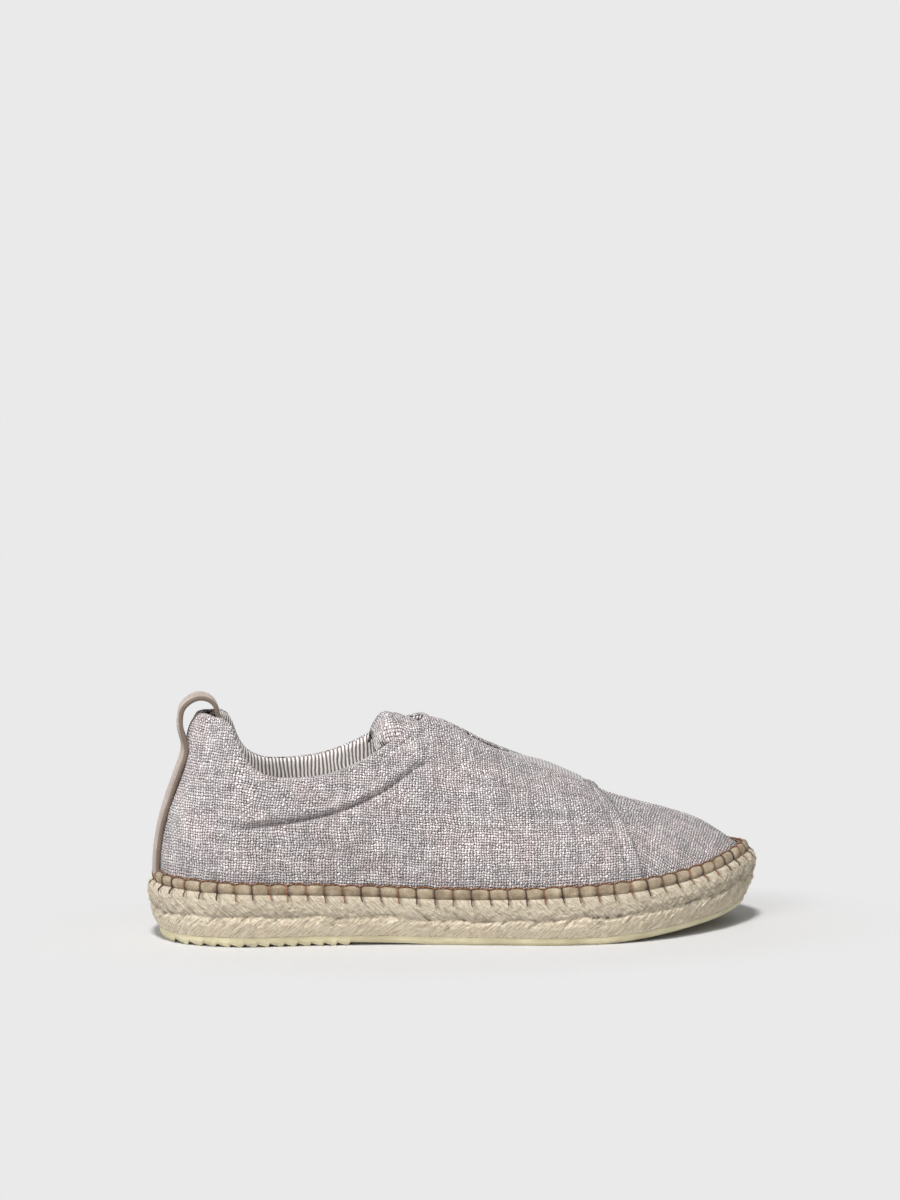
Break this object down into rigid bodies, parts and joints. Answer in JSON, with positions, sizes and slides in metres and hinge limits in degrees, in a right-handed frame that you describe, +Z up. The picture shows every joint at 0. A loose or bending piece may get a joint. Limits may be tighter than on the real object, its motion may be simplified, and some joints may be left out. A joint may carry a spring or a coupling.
{
  "type": "espadrille",
  "caption": "Slip-on espadrille for the right foot: hollow linen upper with padded collar, elastic instep, heel pull loop, braided jute sole and rubber outsole.",
  "frame": {"origin": "on the floor, under the middle of the shoe's box", "axes": "+X to the toe, +Y to the medial side, +Z up"},
  "size_m": [0.288, 0.1036, 0.1125],
  "materials": {
    "rubber": "matte",
    "jute": "coarse braid",
    "insole": "matte",
    "linen": "coarse plain weave",
    "tape": "knitted",
    "elastic": "ribbed",
    "strap": "twill tape"
  },
  "bodies": {
    "root": {"outsole": "rubber", "jute_sole": "jute", "insole": "insole", "upper": "linen", "welt_tape": "tape", "gore": "elastic", "tongue": "linen", "heel_pull_strap": "strap"}
  },
  "joints": []
}
